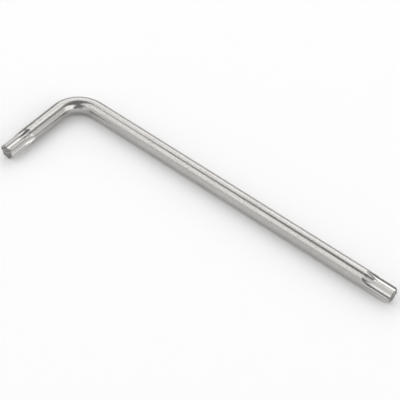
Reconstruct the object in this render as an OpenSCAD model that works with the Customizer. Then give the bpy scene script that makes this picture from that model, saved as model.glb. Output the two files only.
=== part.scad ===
// Star key: one round steel wire bent to an L, with a six-lobe star formed on both ends.
// Lengths are in millimetres and angles in degrees.
// The key lies flat. +X runs out along the long arm, the short arm runs along -Y and +Z is up.
// The origin is under the middle of the key's box, on the surface that the key lies on.

/* [Wire] */
// Diameter of the round wire
wire_d = 5.8; // [5.6:0.1:8]
// Radius on the inside of the bend
bend_inner_r = 5.8; // [4:0.1:12]

/* [Arms] */
// Overall length along the long arm, from the back of the short arm to the tip
long_reach = 128.3; // [80:0.1:240]
// Overall length along the short arm, from the back of the long arm to the tip
short_reach = 36; // [32:0.1:70]

/* [Star] */
// Width across two opposite lobes
star_across_lobes = 5.54; // [4.8:0.02:5.8]
// Width across two opposite flutes
star_across_flutes = 3.96; // [3.4:0.02:4.4]
// Radius of the hollow of a flute
flute_r = 1.6; // [0.9:0.02:1.8]
// Length behind the tip over which the flutes keep their full depth
star_length = 5.2; // [4:0.1:10]
// Radius of the curve on which the floor of a flute climbs out of the wire
runout_r = 14.3; // [5:0.1:20]
// Length of the cone on which the core swells to the turned wire
swell_length = 2.4; // [1.5:0.1:4]
// Depth to which the wire is turned down behind the star
turned_depth = 0.08; // [0.02:0.01:0.3]
// Length of the turned wire behind the cone
turned_length = 1.3; // [0.5:0.1:4]
// Length of the shoulder between the turned wire and the round wire
shoulder_length = 1; // [0.4:0.1:3]
// Length of the plain round wire between the flutes and the arm
collar_length = 1.9; // [0.5:0.1:5]
// Width of the bevel round the tip
tip_bevel = 0.35; // [0.1:0.05:0.7]
// Turn of the star on the long arm, where at 0 a flute faces up
long_star_turn = 14; // [-30:0.5:30]
// Turn of the star on the short arm, where at 0 a flute faces up
short_star_turn = 7.5; // [-30:0.5:30]

/* [Hidden] */
$fn = 96;
steel = [0.71, 0.7, 0.69];

// How far a cutting shape runs past what it cuts
overrun = 1;
// How deep a lobe and a flute run into each other, so that they meet in an edge
lobe_overlap = 0.04;

// The wire
wire_r = wire_d / 2;
bend_r = bend_inner_r + wire_r;
quarter_turn = 90;

// The star's outline: a lobe touches its two flutes, and is then thickened by the overlap
lobe_count = 6;
lobe_step = 360 / lobe_count;
half_step = lobe_step / 2;
star_r = star_across_lobes / 2;
flute_floor_r = star_across_flutes / 2;
flute_centre_r = flute_floor_r + flute_r;
flute_centre_reach = flute_centre_r * cos(half_step);
touching_lobe_r = (pow(flute_centre_r, 2) + pow(star_r, 2) - 2 * flute_centre_reach * star_r - pow(flute_r, 2))
    / (2 * (star_r + flute_r - flute_centre_reach));
lobe_r = touching_lobe_r + lobe_overlap;
lobe_centre_r = star_r - lobe_r;

// The round core ends where a lobe and a flute cross
lobe_centre = lobe_centre_r * [cos(half_step), sin(half_step)];
lobe_to_flute = [flute_centre_r, 0] - lobe_centre;
crossing_depth = (lobe_r + norm(lobe_to_flute) - flute_r) / 2;
core_r = norm(lobe_centre + crossing_depth * lobe_to_flute / norm(lobe_to_flute));

// Lengths along a star end, measured from its tip
flute_sweep_r = runout_r - flute_r;
flute_depth = wire_r - flute_floor_r;
runout_length = sqrt(pow(runout_r, 2) - pow(runout_r - flute_depth, 2));
turned_r = wire_r - turned_depth;
swell_end = star_length + swell_length;
shoulder_start = swell_end + turned_length;
shoulder_end = shoulder_start + shoulder_length;
star_end_length = max(star_length + runout_length, shoulder_end) + collar_length;

// Where the arms' axes cross, and the straight lengths that are left of the arms
corner = [wire_r - long_reach / 2, short_reach / 2 - wire_r, wire_r];
long_arm_length = long_reach - wire_r - bend_r - star_end_length;
short_arm_length = short_reach - wire_r - bend_r - star_end_length;
long_tip = corner + [long_reach - wire_r, 0, 0];
short_tip = corner - [0, short_reach - wire_r, 0];

// The blank of a star end stands on its tip: a turned core, and the lobes that die into its cones
module star_blank() {
    rotate_extrude()
        polygon([
            [0, 0],
            [core_r, 0],
            [core_r, star_length],
            [turned_r, swell_end],
            [turned_r, shoulder_start],
            [wire_r, shoulder_end],
            [wire_r, star_end_length],
            [0, star_end_length]
        ]);
    for (i = [0 : lobe_count - 1])
        rotate(half_step + i * lobe_step)
            translate([lobe_centre_r, 0, 0])
                cylinder(h = shoulder_end, r = lobe_r);
}

// One flute: straight along the star, then a quarter of a ring that climbs out of the wire
module flute_cutter() {
    translate([flute_centre_r, 0, -overrun])
        cylinder(h = star_length + overrun, r = flute_r);
    translate([flute_centre_r + flute_sweep_r, 0, star_length])
        rotate([quarter_turn, 0, 2 * quarter_turn])
            rotate_extrude(angle = quarter_turn)
                translate([flute_sweep_r, 0])
                    circle(r = flute_r);
}

// The ring that is turned off round the tip
module bevel_cutter() {
    rotate_extrude()
        polygon([
            [star_r - tip_bevel - overrun, -overrun],
            [star_r + overrun, -overrun],
            [star_r + overrun, tip_bevel + overrun]
        ]);
}

// A star end with its tip at the origin and the wire running up from it
module star_end(turn) {
    rotate(turn)
        difference() {
            star_blank();
            for (i = [0 : lobe_count - 1])
                rotate(i * lobe_step)
                    flute_cutter();
            bevel_cutter();
        }
}

module short_star_end() {
    color(steel)
        translate(short_tip)
            rotate([0, -quarter_turn, -quarter_turn])
                star_end(short_star_turn);
}

module short_arm() {
    color(steel)
        translate(corner - [0, bend_r, 0])
            rotate([quarter_turn, 0, 0])
                cylinder(h = short_arm_length, r = wire_r);
}

module bend() {
    color(steel)
        translate(corner + [bend_r, -bend_r, 0])
            rotate(quarter_turn)
                rotate_extrude(angle = quarter_turn)
                    translate([bend_r, 0])
                        circle(r = wire_r);
}

module long_arm() {
    color(steel)
        translate(corner + [bend_r, 0, 0])
            rotate([0, quarter_turn, 0])
                cylinder(h = long_arm_length, r = wire_r);
}

module long_star_end() {
    color(steel)
        translate(long_tip)
            rotate([0, -quarter_turn, 0])
                star_end(long_star_turn);
}

short_star_end();
short_arm();
bend();
long_arm();
long_star_end();
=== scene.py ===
"""Looks of a star key: one plated steel wire, bent once, with a six-lobe star formed on both ends.

Lengths are in metres unless a name says otherwise. The wire is dressed zone by zone: each zone takes the
place of the solid of the same name, and the zones meet ring on ring, so that no step shows between them.
"""

import logging
import math
from abc import ABC, abstractmethod
from dataclasses import dataclass
from enum import Enum

import bpy
import numpy as np
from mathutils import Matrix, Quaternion, Vector


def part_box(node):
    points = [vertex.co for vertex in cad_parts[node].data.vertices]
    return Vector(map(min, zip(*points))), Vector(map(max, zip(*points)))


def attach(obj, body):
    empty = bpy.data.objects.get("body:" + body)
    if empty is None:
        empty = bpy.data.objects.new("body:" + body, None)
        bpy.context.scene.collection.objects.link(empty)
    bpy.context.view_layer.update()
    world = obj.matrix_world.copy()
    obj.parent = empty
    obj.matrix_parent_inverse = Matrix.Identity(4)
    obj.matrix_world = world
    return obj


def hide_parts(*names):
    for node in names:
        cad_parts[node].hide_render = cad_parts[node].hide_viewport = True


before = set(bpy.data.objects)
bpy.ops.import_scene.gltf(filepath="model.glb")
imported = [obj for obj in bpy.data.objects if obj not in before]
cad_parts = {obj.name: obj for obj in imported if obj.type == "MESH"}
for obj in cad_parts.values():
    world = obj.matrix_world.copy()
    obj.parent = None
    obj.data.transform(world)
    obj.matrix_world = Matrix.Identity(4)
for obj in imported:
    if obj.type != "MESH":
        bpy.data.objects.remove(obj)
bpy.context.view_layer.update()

MM = 0.001
UP = Vector((0.0, 0.0, 1.0))
STRAIGHT_WIRE = "straight_wire"
BURNISH = "burnish"
CUT_FACE = "cut_face"
BISECTIONS = 40
# Radius that stands for a surface that isn't met, far outside the wire
FAR_OUT = 1.0
LOG = logging.getLogger("star_key")

Colour = tuple[float, float, float]


class Mixed(Enum):
    """What a mix in a material mixes."""

    NUMBER = "FLOAT"
    COLOUR = "RGBA"


class Arm(Enum):
    """The two straight arms of the key."""

    LONG = "long"
    SHORT = "short"

    @property
    def to_tip(self) -> Vector:
        """Direction from the bend to the tip."""
        return Vector((1, 0, 0)) if self is Arm.LONG else Vector((0, -1, 0))

    @property
    def outward(self) -> Vector:
        """Level direction that faces away from the inside of the bend."""
        return Vector((0, 1, 0)) if self is Arm.LONG else Vector((-1, 0, 0))


def direction(azimuth_deg: float, elevation_deg: float) -> Vector:
    """Give the unit direction from the key to a place in the studio.

    Args:
        azimuth_deg: Angle round the key, 0 on the -Y side and 90 on the +X side.
        elevation_deg: Angle above the floor.

    Returns:
        The direction.
    """
    azimuth, elevation = math.radians(azimuth_deg), math.radians(elevation_deg)
    level = math.cos(elevation)
    return Vector((math.sin(azimuth) * level, -math.cos(azimuth) * level, math.sin(elevation)))


def soft_min(first: np.ndarray, second: np.ndarray, blend: float) -> np.ndarray:
    """Take the lesser of two surfaces, with their edge rounded off.

    Args:
        first: One surface's heights.
        second: The other surface's heights.
        blend: Difference in height below which the two blend.

    Returns:
        The blended heights.
    """
    share = np.maximum(blend - np.abs(first - second), 0.0) / blend
    return np.minimum(first, second) - share**2 * blend / 4


def soft_max(first: np.ndarray, second: np.ndarray, blend: float) -> np.ndarray:
    """Take the greater of two surfaces, with their inner corner filled, as soft_min does for edges."""
    return -soft_min(-first, -second, blend)


def points_of(piece: bpy.types.Object) -> np.ndarray:
    """Read the places of a piece's vertices.

    Args:
        piece: The piece.

    Returns:
        One row a vertex.
    """
    places = np.empty(len(piece.data.vertices) * 3, np.float32)
    piece.data.vertices.foreach_get("co", places)
    return places.reshape(-1, 3).astype(float)


def add_ring(name: str, centre: Vector, facing: Vector, radius: float, sides: int) -> bpy.types.Object:
    """Start a piece as one ring of edges and open it for modelling, with the ring selected.

    Args:
        name: Name of the piece.
        centre: Middle of the ring.
        facing: Direction that the ring is square to.
        radius: Radius of the ring.
        sides: Number of edges.

    Returns:
        The new object, in edit mode, with its place in its mesh.
    """
    bpy.ops.object.select_all(action="DESELECT")
    turn = facing.to_track_quat("Z", "Y").to_euler()
    bpy.ops.mesh.primitive_circle_add(vertices=sides, radius=radius, location=centre, rotation=turn)
    piece = bpy.context.object
    piece.name = piece.data.name = name
    bpy.ops.object.transform_apply(location=True, rotation=True, scale=True)
    bpy.ops.object.mode_set(mode="EDIT")
    bpy.ops.mesh.select_all(action="SELECT")
    return piece


def extrude_ring(step: Vector) -> None:
    """Extrude the selected ring by a step and leave the new ring selected."""
    bpy.ops.mesh.extrude_region_move(TRANSFORM_OT_translate={"value": step})


def inset_ring(centre: Vector, share: float) -> None:
    """Extrude the selected ring in its own plane and draw it in towards its centre by a share."""
    extrude_ring(Vector())
    bpy.ops.transform.resize(value=(share, share, share), center_override=centre)


def close_mesh() -> None:
    """Close both open ends of the mesh being modelled, turn its faces outwards and leave edit mode."""
    bpy.ops.mesh.select_all(action="SELECT")
    bpy.ops.mesh.fill_holes(sides=0)
    bpy.ops.mesh.select_all(action="SELECT")
    bpy.ops.mesh.normals_make_consistent(inside=False)
    bpy.ops.object.mode_set(mode="OBJECT")


@dataclass(frozen=True)
class WireCourse:
    """The course of the wire through the frame, measured on the solids.

    The run of a point is its distance along the wire's axis from the short arm's tip.
    """

    radius: float
    bend_radius: float
    corner: Vector
    tips: dict[Arm, Vector]
    necks: dict[Arm, Vector]

    @classmethod
    def measured(cls) -> "WireCourse":
        """Measure the course on the boxes of the zones.

        Returns:
            The course.
        """
        long_low, long_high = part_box("long_arm")
        short_low, short_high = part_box("short_arm")
        corner = Vector(((short_low.x + short_high.x) / 2, (long_low + long_high).y / 2, long_high.z / 2))
        long_tip_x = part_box("long_star_end")[1].x
        short_tip_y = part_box("short_star_end")[0].y
        return cls(
            radius=(long_high.z - long_low.z) / 2,
            bend_radius=long_low.x - corner.x,
            corner=corner,
            tips={
                Arm.LONG: Vector((long_tip_x, corner.y, corner.z)),
                Arm.SHORT: Vector((corner.x, short_tip_y, corner.z)),
            },
            necks={
                Arm.LONG: Vector((long_high.x, corner.y, corner.z)),
                Arm.SHORT: Vector((corner.x, short_low.y, corner.z)),
            },
        )

    def bend_end(self, arm: Arm) -> Vector:
        """Give the point on the axis where the bend runs into an arm."""
        return self.corner + arm.to_tip * self.bend_radius

    @property
    def bend_centre(self) -> Vector:
        """Centre that the bend is turned about."""
        return self.corner + (Arm.LONG.to_tip + Arm.SHORT.to_tip) * self.bend_radius

    @property
    def bend_start_run(self) -> float:
        """Run at which the short arm goes over into the bend."""
        return (self.bend_end(Arm.SHORT) - self.tips[Arm.SHORT]).length

    @property
    def full_run(self) -> float:
        """Length of the whole wire along its axis."""
        bend = self.bend_radius * math.pi / 2
        return self.bend_start_run + bend + (self.tips[Arm.LONG] - self.bend_end(Arm.LONG)).length

    def lay_out_arm(self, arm: Arm, points: np.ndarray) -> np.ndarray:
        """Lay points on an arm out on the straightened wire.

        Args:
            arm: The arm that the points are on.
            points: One point a row.

        Returns:
            One row a point: how far outwards, how far up, and the run.
        """
        offsets = points - np.array(self.tips[arm])
        behind_tip = -offsets @ np.array(arm.to_tip)
        run = behind_tip if arm is Arm.SHORT else self.full_run - behind_tip
        return np.stack([offsets @ np.array(arm.outward), offsets[:, 2], run], axis=1)

    def lay_out_bend(self, points: np.ndarray) -> np.ndarray:
        """Lay points on the bend out on the straightened wire, as lay_out_arm does for an arm.

        Args:
            points: One point a row.

        Returns:
            One row a point: how far outwards, how far up, and the run.
        """
        offsets = points - np.array(self.bend_centre)
        turn = np.arctan2(offsets[:, 1], -offsets[:, 0])
        outwards = np.hypot(offsets[:, 0], offsets[:, 1]) - self.bend_radius
        return np.stack([outwards, offsets[:, 2], self.bend_start_run + self.bend_radius * turn], axis=1)


@dataclass(frozen=True)
class StarForm:
    """The six-lobe star and the way that its flutes run out of the round wire."""

    across_lobes: float = 5.54 * MM
    across_flutes: float = 3.96 * MM
    flute_radius: float = 1.6 * MM
    full_depth_length: float = 5.2 * MM
    runout_radius: float = 14.3 * MM
    swell_length: float = 2.4 * MM
    turned_depth: float = 0.08 * MM
    turned_length: float = 1.3 * MM
    shoulder_length: float = 1.0 * MM
    tip_bevel: float = 0.35 * MM
    edge_blend: float = 0.05 * MM
    bevel_blend: float = 0.08 * MM
    lobes: int = 6

    @property
    def lobe_step(self) -> float:
        """Angle from one lobe to the next."""
        return math.tau / self.lobes

    @property
    def flute_centre(self) -> float:
        """Distance from the axis to the centre of a flute's hollow."""
        return self.across_flutes / 2 + self.flute_radius

    @property
    def lobe_radius(self) -> float:
        """Work out the radius of a lobe that touches the two flutes beside it.

        Returns:
            The radius.
        """
        star = self.across_lobes / 2
        reach = self.flute_centre * math.cos(self.lobe_step / 2)
        gap = self.flute_centre**2 + star**2 - 2 * reach * star - self.flute_radius**2
        return gap / (2 * (star + self.flute_radius - reach))

    @property
    def core_radius(self) -> float:
        """Work out how far from the axis a lobe touches a flute.

        Returns:
            The distance.
        """
        lobe = (self.across_lobes / 2 - self.lobe_radius) * np.exp(1j * self.lobe_step / 2)
        to_flute = self.flute_centre - lobe
        return float(abs(lobe + self.lobe_radius * to_flute / abs(to_flute)))

    @property
    def blank_places(self) -> np.ndarray:
        """Distances behind the tip at which the turned blank of the star changes its slope."""
        lengths = (self.full_depth_length, self.swell_length, self.turned_length, self.shoulder_length)
        return np.cumsum(lengths)

    def flute_surface(self, across: np.ndarray, behind_tip: np.ndarray) -> np.ndarray:
        """Give the radius of the flutes' hollows.

        Args:
            across: Angle from the middle of the nearest flute.
            behind_tip: Distance behind the tip.

        Returns:
            The radius, or FAR_OUT where no flute is met.
        """
        sweep = self.runout_radius - self.flute_radius
        past_full = np.maximum(behind_tip - self.full_depth_length, 0.0)
        ring_centre = self.flute_centre + sweep
        inner = np.zeros(np.broadcast(across, behind_tip).shape)
        outer = (ring_centre - np.sqrt(sweep**2 - past_full**2)) * np.cos(across)
        met = self._in_hollow(outer, across, past_full)
        for _ in range(BISECTIONS):
            middle = (inner + outer) / 2
            hollow = self._in_hollow(middle, across, past_full)
            outer = np.where(hollow, middle, outer)
            inner = np.where(hollow, inner, middle)
        return np.where(met, outer, FAR_OUT)

    def _in_hollow(self, radius: np.ndarray, across: np.ndarray, past_full: np.ndarray) -> np.ndarray:
        """Say which points lie in the hollow of a flute.

        Args:
            radius: Distance from the axis.
            across: Angle from the middle of the flute.
            past_full: Distance behind the stretch of full depth.

        Returns:
            True where a point lies in the hollow.
        """
        sweep = self.runout_radius - self.flute_radius
        from_ring_centre = self.flute_centre + sweep - radius * np.cos(across)
        off_ring = np.hypot(from_ring_centre, past_full) - sweep
        return np.hypot(off_ring, radius * np.sin(across)) < self.flute_radius

    def lobe_surface(self, across: np.ndarray) -> np.ndarray:
        """Give the radius of the lobes, or zero beside them.

        Args:
            across: Angle from the middle of the nearest lobe.

        Returns:
            The radius.
        """
        centre = self.across_lobes / 2 - self.lobe_radius
        inside = self.lobe_radius**2 - (centre * np.sin(across)) ** 2
        crest = centre * np.cos(across) + np.sqrt(np.maximum(inside, 0.0))
        return np.where(inside > 0, crest, 0.0)

    def surface(self, angle: np.ndarray, behind_tip: np.ndarray, wire_radius: float) -> np.ndarray:
        """Give the radius of the star end's skin.

        Args:
            angle: Angle round the axis, where a flute is at zero.
            behind_tip: Distance behind the tip.
            wire_radius: Radius of the round wire that the star is formed on.

        Returns:
            The radius.
        """
        half = self.lobe_step / 2
        from_flute = (angle + half) % self.lobe_step - half
        from_lobe = angle % self.lobe_step - half
        turned = wire_radius - self.turned_depth
        core = np.interp(behind_tip, self.blank_places, (self.core_radius, turned, turned, wire_radius))
        blank = soft_max(self.lobe_surface(from_lobe), core, self.edge_blend)
        blank = np.minimum(blank, wire_radius)
        skin = soft_min(blank, self.flute_surface(from_flute, behind_tip), self.edge_blend)
        bevel = self.across_lobes / 2 - self.tip_bevel + behind_tip
        return soft_min(skin, bevel, self.bevel_blend)


@dataclass(frozen=True)
class PlatedSteel:
    """Satin plate over drawn wire: fine lines and faint clouds, burnished stars, and rough cut faces whose
    dark colour is painted shade flecked with painted glints.
    """

    name: str = "satin_plate_on_drawn_wire"
    colour: Colour = (0.502, 0.488, 0.473)
    dull_colour: Colour = (0.41, 0.398, 0.386)
    burnished_colour: Colour = (0.545, 0.532, 0.518)
    # Cut face colours: a dark painted shade, and lighter specks of painted glint
    cut_face_painted_shade_colour: Colour = (0.15, 0.146, 0.141)
    cut_face_painted_glint_colour: Colour = (0.43, 0.42, 0.408)
    roughness_low: float = 0.15
    roughness_high: float = 0.27
    burnished_roughness: float = 0.14
    cut_roughness: float = 0.4
    line_pitch: float = 0.28 * MM
    line_length: float = 26.0 * MM
    line_height: float = 0.0016 * MM
    line_share: float = 0.45
    line_detail: float = 3.0
    detail: float = 2.0
    grain_pitch: float = 0.5 * MM
    grain_height: float = 0.003 * MM
    grain_share: float = 0.6
    cloud_pitch: float = 3.2 * MM
    cloud_length: float = 11.0 * MM
    cut_pitch: float = 0.9 * MM
    rough_span: tuple[float, float] = (0.3, 0.7)
    dull_span: tuple[float, float] = (0.38, 0.62)
    # Span of the speck noise that turns into painted glints on the cut faces
    painted_glint_span: tuple[float, float] = (0.4, 0.66)

    def material(self) -> bpy.types.Material:
        """Mix the finish.

        Returns:
            The material, which reads the laid-out place on the wire, the burnish and the cut faces.
        """
        material = bpy.data.materials.new(self.name)
        material.use_nodes = True
        links = material.node_tree.links
        shader = material.node_tree.nodes["Principled BSDF"]
        shader.inputs["Metallic"].default_value = 1.0

        # Patterns on the straightened wire, and the marks that a piece carries
        line_size = (self.line_pitch, self.line_pitch, self.line_length)
        cloud_size = (self.cloud_pitch, self.cloud_pitch, self.cloud_length)
        lines = self._noise(material, line_size, self.line_detail)
        grain = self._noise(material, (self.grain_pitch,) * 3, self.detail)
        clouds = self._noise(material, cloud_size, self.detail)
        specks = self._noise(material, (self.cut_pitch,) * 3, self.detail)
        drawn = self._mix(material, Mixed.NUMBER, self.line_share, clouds, lines)
        burnish = self._read(material, BURNISH).outputs["Fac"]
        cut = self._read(material, CUT_FACE).outputs["Fac"]

        # Roughness: the drawn wire, then the burnished stars, then the cut faces
        rough = self._spread(material, drawn, self.rough_span, (self.roughness_low, self.roughness_high))
        smoothed = self._mix(material, Mixed.NUMBER, burnish, rough, self.burnished_roughness)
        roughness = self._mix(material, Mixed.NUMBER, cut, smoothed, self.cut_roughness)
        links.new(roughness, shader.inputs["Roughness"])

        # Colour, in the same order; the cut faces take painted shade flecked with painted glints
        flecked = self._mix(material, Mixed.NUMBER, self.grain_share, drawn, grain)
        dull = self._spread(material, flecked, self.dull_span, (0.0, 1.0))
        plate = self._mix(material, Mixed.COLOUR, dull, self.colour, self.dull_colour)
        formed = self._mix(material, Mixed.COLOUR, burnish, plate, self.burnished_colour)
        # Painted glints fleck the painted shade of the cut faces
        painted_glint_share = self._spread(material, specks, self.painted_glint_span, (0.0, 1.0))
        painted_cut_face_colour = self._mix(material, Mixed.COLOUR, painted_glint_share, self.cut_face_painted_shade_colour, self.cut_face_painted_glint_colour)
        links.new(self._mix(material, Mixed.COLOUR, cut, formed, painted_cut_face_colour), shader.inputs["Base Color"])

        # Relief: grain under the lines
        grain_bump = self._bump(material, grain, self.grain_height)
        line_bump = self._bump(material, lines, self.line_height)
        links.new(grain_bump.outputs["Normal"], line_bump.inputs["Normal"])
        links.new(line_bump.outputs["Normal"], shader.inputs["Normal"])
        return material

    @staticmethod
    def _read(material: bpy.types.Material, attribute: str) -> bpy.types.Node:
        """Add a node that reads an attribute of the piece.

        Args:
            material: The material to add it to.
            attribute: Name of the attribute.

        Returns:
            The node.
        """
        node = material.node_tree.nodes.new("ShaderNodeAttribute")
        node.attribute_name = attribute
        return node

    @staticmethod
    def _mix(
        material: bpy.types.Material,
        kind: Mixed,
        share: bpy.types.NodeSocket | float,
        first: bpy.types.NodeSocket | Colour | float,
        second: bpy.types.NodeSocket | Colour | float,
    ) -> bpy.types.NodeSocket:
        """Mix two colours or two numbers.

        Args:
            material: The material to mix them in.
            kind: What is mixed.
            share: How much of the second is taken.
            first: A socket or a set value.
            second: A socket or a set value.

        Returns:
            The socket that gives the mix.
        """
        mix = material.node_tree.nodes.new("ShaderNodeMix")
        mix.data_type = kind.value
        for name, value in (("Factor", share), ("A", first), ("B", second)):
            if isinstance(value, bpy.types.NodeSocket):
                material.node_tree.links.new(value, mix.inputs[name])
            else:
                mix.inputs[name].default_value = (*value, 1.0) if isinstance(value, tuple) else value
        return mix.outputs["Result"]

    @staticmethod
    def _spread(
        material: bpy.types.Material,
        value: bpy.types.NodeSocket,
        span: tuple[float, float],
        onto: tuple[float, float],
    ) -> bpy.types.NodeSocket:
        """Spread a value's span onto another span.

        Args:
            material: The material to do it in.
            value: Socket that gives the value.
            span: Lowest and highest value that is told apart.
            onto: What these two become.

        Returns:
            The socket that gives the spread value.
        """
        spread = material.node_tree.nodes.new("ShaderNodeMapRange")
        names = ("From Min", "From Max", "To Min", "To Max")
        for name, limit in zip(names, (*span, *onto)):
            spread.inputs[name].default_value = limit
        material.node_tree.links.new(value, spread.inputs["Value"])
        return spread.outputs["Result"]

    @staticmethod
    def _noise(
        material: bpy.types.Material,
        pitch: tuple[float, float, float],
        detail: float,
    ) -> bpy.types.NodeSocket:
        """Add a noise of a given pitch in each direction of the straightened wire.

        Args:
            material: The material to add it to.
            pitch: Size of the noise outwards, upwards and along the wire.
            detail: Number of finer layers.

        Returns:
            The socket that gives the noise, from 0 to 1.
        """
        nodes, links = material.node_tree.nodes, material.node_tree.links
        scale = nodes.new("ShaderNodeMapping")
        scale.inputs["Scale"].default_value = tuple(1.0 / size for size in pitch)
        noise = nodes.new("ShaderNodeTexNoise")
        noise.inputs["Scale"].default_value = 1.0
        noise.inputs["Detail"].default_value = detail
        place = PlatedSteel._read(material, STRAIGHT_WIRE)
        links.new(place.outputs["Vector"], scale.inputs["Vector"])
        links.new(scale.outputs["Vector"], noise.inputs["Vector"])
        return noise.outputs["Fac"]

    @staticmethod
    def _bump(material: bpy.types.Material, height: bpy.types.NodeSocket, depth: float) -> bpy.types.Node:
        """Add a bump of a given depth from a height between 0 and 1.

        Args:
            material: The material to add it to.
            height: Socket that gives the height.
            depth: Height of the bump at 1.

        Returns:
            The bump node.
        """
        bump = material.node_tree.nodes.new("ShaderNodeBump")
        bump.inputs["Distance"].default_value = depth
        material.node_tree.links.new(height, bump.inputs["Height"])
        return bump


@dataclass
class WireZone(ABC):
    """One zone of the wire, which takes the place of the solid of the same name."""

    node: str
    course: WireCourse
    sides: int = 360
    crease_deg: float = 55.0

    @abstractmethod
    def build(self) -> bpy.types.Object:
        """Model the zone.

        Returns:
            The closed piece.
        """

    @abstractmethod
    def lay_out(self, points: np.ndarray) -> np.ndarray:
        """Lay points of the zone out on the straightened wire, as WireCourse does."""

    def burnish(self, laid_out: np.ndarray) -> np.ndarray:
        """Say how far forming has burnished each laid-out point, from 0 to 1."""
        return np.zeros(len(laid_out))

    def cut(self, laid_out: np.ndarray) -> np.ndarray:
        """Say which laid-out points lie on a bare cut face, 1 there and 0 elsewhere, where the finish
        paints shade and glints.
        """
        return np.zeros(len(laid_out))

    def dress(self, piece: bpy.types.Object, steel: bpy.types.Material) -> None:
        """Give the piece its finish, the pattern's place on it and its seat in the frame.

        Args:
            piece: The built piece.
            steel: The finish.
        """
        bpy.ops.object.select_all(action="DESELECT")
        bpy.context.view_layer.objects.active = piece
        piece.select_set(True)
        bpy.ops.object.shade_smooth_by_angle(angle=math.radians(self.crease_deg))
        laid_out = self.lay_out(points_of(piece))
        place = piece.data.attributes.new(STRAIGHT_WIRE, "FLOAT_VECTOR", "POINT")
        place.data.foreach_set("vector", laid_out.astype(np.float32).ravel())
        for name, values in ((BURNISH, self.burnish(laid_out)), (CUT_FACE, self.cut(laid_out))):
            marks = piece.data.attributes.new(name, "FLOAT", "POINT")
            marks.data.foreach_set("value", values.astype(np.float32))
        piece.data.materials.append(steel)
        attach(piece, "root")
        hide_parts(self.node)


@dataclass
class StraightArm(WireZone):
    """The plain round wire of one arm, between the bend and the star."""

    arm: Arm = Arm.LONG
    lengths: int = 24

    def build(self) -> bpy.types.Object:
        """Extrude a ring from the bend to the neck of the star.

        Returns:
            The closed piece.
        """
        name = f"{self.arm.value}_round_wire"
        start = self.course.bend_end(self.arm)
        step = (self.course.necks[self.arm] - start) / self.lengths
        piece = add_ring(name, start, self.arm.to_tip, self.course.radius, self.sides)
        for _ in range(self.lengths):
            extrude_ring(step)
        close_mesh()
        return piece

    def lay_out(self, points: np.ndarray) -> np.ndarray:
        """Lay points of the arm out on the straightened wire."""
        return self.course.lay_out_arm(self.arm, points)


@dataclass
class QuarterBend(WireZone):
    """The bend between the two arms."""

    steps: int = 96

    def build(self) -> bpy.types.Object:
        """Spin a ring a quarter turn from the short arm to the long arm.

        Returns:
            The closed piece.
        """
        start = self.course.bend_end(Arm.SHORT)
        piece = add_ring("bent_wire", start, Arm.SHORT.to_tip, self.course.radius, self.sides)
        bpy.ops.mesh.spin(steps=self.steps, angle=math.pi / 2, center=self.course.bend_centre, axis=UP)
        close_mesh()
        return piece

    def lay_out(self, points: np.ndarray) -> np.ndarray:
        """Lay points of the bend out on the straightened wire."""
        return self.course.lay_out_bend(points)


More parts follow.
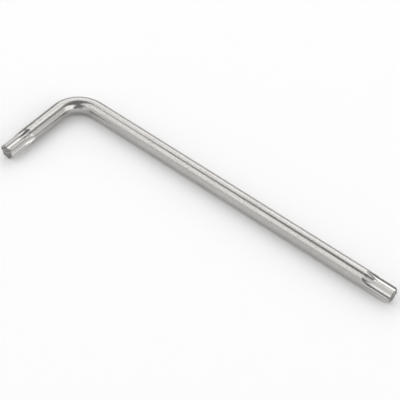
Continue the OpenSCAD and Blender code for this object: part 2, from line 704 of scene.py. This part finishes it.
@dataclass
class StarEnd(WireZone):
    """The star formed on the end of one arm, from the neck to the bevelled tip."""

    arm: Arm = Arm.LONG
    form: StarForm = StarForm()
    turn_deg: float = 0.0
    bevel_rings: int = 12
    star_rings: int = 10
    runout_rings: int = 64
    neck_rings: int = 4
    bevel_margin: float = 2.0
    runout_margin: float = 4.0
    face_shares: tuple[float, ...] = (0.9, 0.75, 0.55, 0.35, 0.18, 0.06)
    face_depth: float = 0.01 * MM

    @property
    def tip(self) -> Vector:
        """Middle of the tip's face."""
        return self.course.tips[self.arm]

    def stations(self) -> np.ndarray:
        """Choose the distances behind the tip at which the piece gets a ring.

        Returns:
            The distances from the neck to the tip, close together where the shape changes fast.
        """
        form = self.form
        neck = (self.course.necks[self.arm] - self.tip).length
        bevel_end = self.bevel_margin * form.tip_bevel
        depth = self.course.radius - form.across_flutes / 2
        runout = math.sqrt(form.runout_radius**2 - (form.runout_radius - depth) ** 2)
        margin = self.runout_margin * form.edge_blend
        runout_start = form.full_depth_length - margin
        runout_end = form.full_depth_length + runout + margin
        rows = [
            np.linspace(neck, runout_end, self.neck_rings, endpoint=False),
            np.linspace(runout_end, runout_start, self.runout_rings, endpoint=False),
            np.linspace(runout_start, bevel_end, self.star_rings, endpoint=False),
            np.linspace(bevel_end, 0.0, self.bevel_rings + 1),
        ]
        return np.concatenate(rows)

    def build(self) -> bpy.types.Object:
        """Extrude a ring from the neck to the tip, draw the tip's face in and press the star into it.

        Returns:
            The closed piece.
        """
        neck = self.course.necks[self.arm]
        piece = add_ring(f"{self.arm.value}_star", neck, self.arm.to_tip, self.course.radius, self.sides)
        for advance in -np.diff(self.stations()):
            extrude_ring(self.arm.to_tip * float(advance))
        drawn_in = 1.0
        for share in self.face_shares:
            inset_ring(self.tip, share / drawn_in)
            drawn_in = share
        close_mesh()
        self.press_star(piece)
        return piece

    def press_star(self, piece: bpy.types.Object) -> None:
        """Move each vertex of the round blank in or out to the star's skin.

        Args:
            piece: The round blank.
        """
        laid_out = self.lay_out(points_of(piece))
        behind_tip = np.maximum(self.behind_tip(laid_out), 0.0)
        share = np.hypot(laid_out[:, 0], laid_out[:, 1]) / self.course.radius
        angle = np.arctan2(laid_out[:, 0], laid_out[:, 1])
        star_angle = angle - math.radians(self.turn_deg)
        radius = share * self.form.surface(star_angle, behind_tip, self.course.radius)
        sideways = np.outer(np.sin(angle), self.arm.outward) + np.outer(np.cos(angle), UP)
        moved = np.array(self.tip) - np.outer(behind_tip, self.arm.to_tip) + sideways * radius[:, None]
        piece.data.vertices.foreach_set("co", moved.astype(np.float32).ravel())
        piece.data.update()

    def lay_out(self, points: np.ndarray) -> np.ndarray:
        """Lay points of the star end out on the straightened wire."""
        return self.course.lay_out_arm(self.arm, points)

    def burnish(self, laid_out: np.ndarray) -> np.ndarray:
        """Say how far forming has burnished each point: all over the star, and less along the run-outs.

        Args:
            laid_out: Points on the straightened wire.

        Returns:
            The burnish of each point, from 0 to 1.
        """
        fade = (self.form.full_depth_length, self.form.blank_places[-1])
        return np.interp(self.behind_tip(laid_out), fade, (1.0, 0.0))

    def cut(self, laid_out: np.ndarray) -> np.ndarray:
        """Say which points lie on the tip's face, 1 there and 0 elsewhere."""
        return np.where(self.behind_tip(laid_out) < self.face_depth, 1.0, 0.0)

    def behind_tip(self, laid_out: np.ndarray) -> np.ndarray:
        """Give the distance of laid-out points behind the tip."""
        run = laid_out[:, 2]
        return run if self.arm is Arm.SHORT else self.course.full_run - run


@dataclass(frozen=True)
class PaleFloor:
    """Plain matt paper for the floor."""

    name: str = "pale_paper"
    colour: Colour = (0.97, 0.97, 0.97)

    def material(self) -> bpy.types.Material:
        """Mix the paper.

        Returns:
            The material.
        """
        material = bpy.data.materials.new(self.name)
        material.use_nodes = True
        shader = material.node_tree.nodes["Principled BSDF"]
        shader.inputs["Base Color"].default_value = (*self.colour, 1.0)
        shader.inputs["Roughness"].default_value = 1.0
        shader.inputs["Specular IOR Level"].default_value = 0.0
        return material


@dataclass(frozen=True)
class SoftPanel:
    """A plain white light panel that faces the key, sized by the angle that it fills as the key sees it."""

    name: str
    azimuth_deg: float
    elevation_deg: float
    width_deg: float
    height_deg: float
    brightness: float
    distance: float = 2.0

    def hang(self, aim: Vector) -> None:
        """Hang the panel in the studio.

        Args:
            aim: The point that it faces.
        """
        towards = direction(self.azimuth_deg, self.elevation_deg)
        lamp = bpy.data.lights.new(self.name, "AREA")
        lamp.shape = "RECTANGLE"
        lamp.size = self._span(self.width_deg)
        lamp.size_y = self._span(self.height_deg)
        lamp.energy = self.brightness * math.pi * lamp.size * lamp.size_y
        panel = bpy.data.objects.new(self.name, lamp)
        panel.location = aim + towards * self.distance
        panel.rotation_mode = "QUATERNION"
        panel.rotation_quaternion = (-towards).to_track_quat("-Z", "Y")
        panel.visible_camera = False
        bpy.context.scene.collection.objects.link(panel)

    def _span(self, angle_deg: float) -> float:
        """Give the length that fills an angle at the panel's distance."""
        return 2 * self.distance * math.tan(math.radians(angle_deg) / 2)


@dataclass(frozen=True)
class Studio:
    """Floor, light and camera."""

    aim_place: tuple[float, float, float] = (-2.75 * MM, 6.83 * MM, 2.90 * MM)
    floor_size: float = 6.0
    room_light: float = 0.28
    paper: PaleFloor = PaleFloor()
    # Name, azimuth, elevation, width and height in degrees, and brightness
    panels: tuple[SoftPanel, ...] = (
        SoftPanel("far_left_panel", 213, 27.5, 46, 27, 1.45),
        SoftPanel("far_left_top_panel", 220, 54, 54, 26, 1.22),
        SoftPanel("far_panel", 181.5, 42, 25, 52, 0.60),
        SoftPanel("far_right_panel", 157, 24, 24, 36, 0.62),
        SoftPanel("right_panel", 101.5, 32, 61, 48, 0.78),
        SoftPanel("right_softbox", 92, 34, 42, 44, 0.85),
        SoftPanel("right_card", 100, 5, 70, 10, 0.87),
        SoftPanel("near_panel", -30, 52, 56, 40, 1.23),
        SoftPanel("near_card", -22, 15, 84, 34, 0.68),
        SoftPanel("low_card", 30, 8, 50, 14, 0.35),
        SoftPanel("left_panel", -82, 30, 44, 44, 0.62),
    )
    camera_azimuth_deg: float = 34.95
    camera_elevation_deg: float = 48.247
    camera_roll_deg: float = 4.9
    camera_distance: float = 477.26 * MM
    camera_angle_deg: float = 14.846
    camera_clip_start: float = 10.0 * MM

    @property
    def aim(self) -> Vector:
        """Point that the camera and the panels face."""
        return Vector(self.aim_place)

    def lay_floor(self) -> None:
        """Lay the paper under the key."""
        bpy.ops.object.select_all(action="DESELECT")
        bpy.ops.mesh.primitive_plane_add(size=self.floor_size, location=(0.0, 0.0, 0.0))
        floor = bpy.context.object
        floor.name = floor.data.name = "paper_floor"
        floor.data.materials.append(self.paper.material())

    def light_room(self) -> None:
        """Set the dim light of the room and hang the panels."""
        world = bpy.data.worlds.new("studio_room")
        world.use_nodes = True
        room = world.node_tree.nodes["Background"]
        room.inputs["Color"].default_value = (1.0, 1.0, 1.0, 1.0)
        room.inputs["Strength"].default_value = self.room_light
        bpy.context.scene.world = world
        for panel in self.panels:
            panel.hang(self.aim)

    def set_camera(self) -> None:
        """Set the camera up at the viewing angle of the photograph."""
        towards = direction(self.camera_azimuth_deg, self.camera_elevation_deg)
        lens = bpy.data.cameras.new("studio_camera")
        lens.angle = math.radians(self.camera_angle_deg)
        lens.clip_start = self.camera_clip_start
        camera = bpy.data.objects.new("studio_camera", lens)
        camera.location = self.aim + towards * self.camera_distance
        camera.rotation_mode = "QUATERNION"
        roll = Quaternion((0.0, 0.0, 1.0), math.radians(self.camera_roll_deg))
        camera.rotation_quaternion = (-towards).to_track_quat("-Z", "Y") @ roll
        bpy.context.scene.collection.objects.link(camera)
        bpy.context.scene.camera = camera
        bpy.context.scene.view_settings.view_transform = "Standard"


def main() -> None:
    """Build the studio and the key, zone by zone."""
    logging.basicConfig(level=logging.INFO, format="%(name)s: %(message)s")
    course = WireCourse.measured()
    studio = Studio()
    studio.set_camera()
    studio.lay_floor()
    studio.light_room()

    steel = PlatedSteel().material()
    zones = (
        StarEnd("short_star_end", course, arm=Arm.SHORT, turn_deg=-7.5),
        StraightArm("short_arm", course, arm=Arm.SHORT, lengths=8),
        QuarterBend("bend", course),
        StraightArm("long_arm", course, arm=Arm.LONG, lengths=48),
        StarEnd("long_star_end", course, arm=Arm.LONG, turn_deg=14.0),
    )
    for zone in zones:
        piece = zone.build()
        zone.dress(piece, steel)
        LOG.info("%s stands for %s with %d faces", piece.name, zone.node, len(piece.data.polygons))


if __name__ == "__main__":
    main()
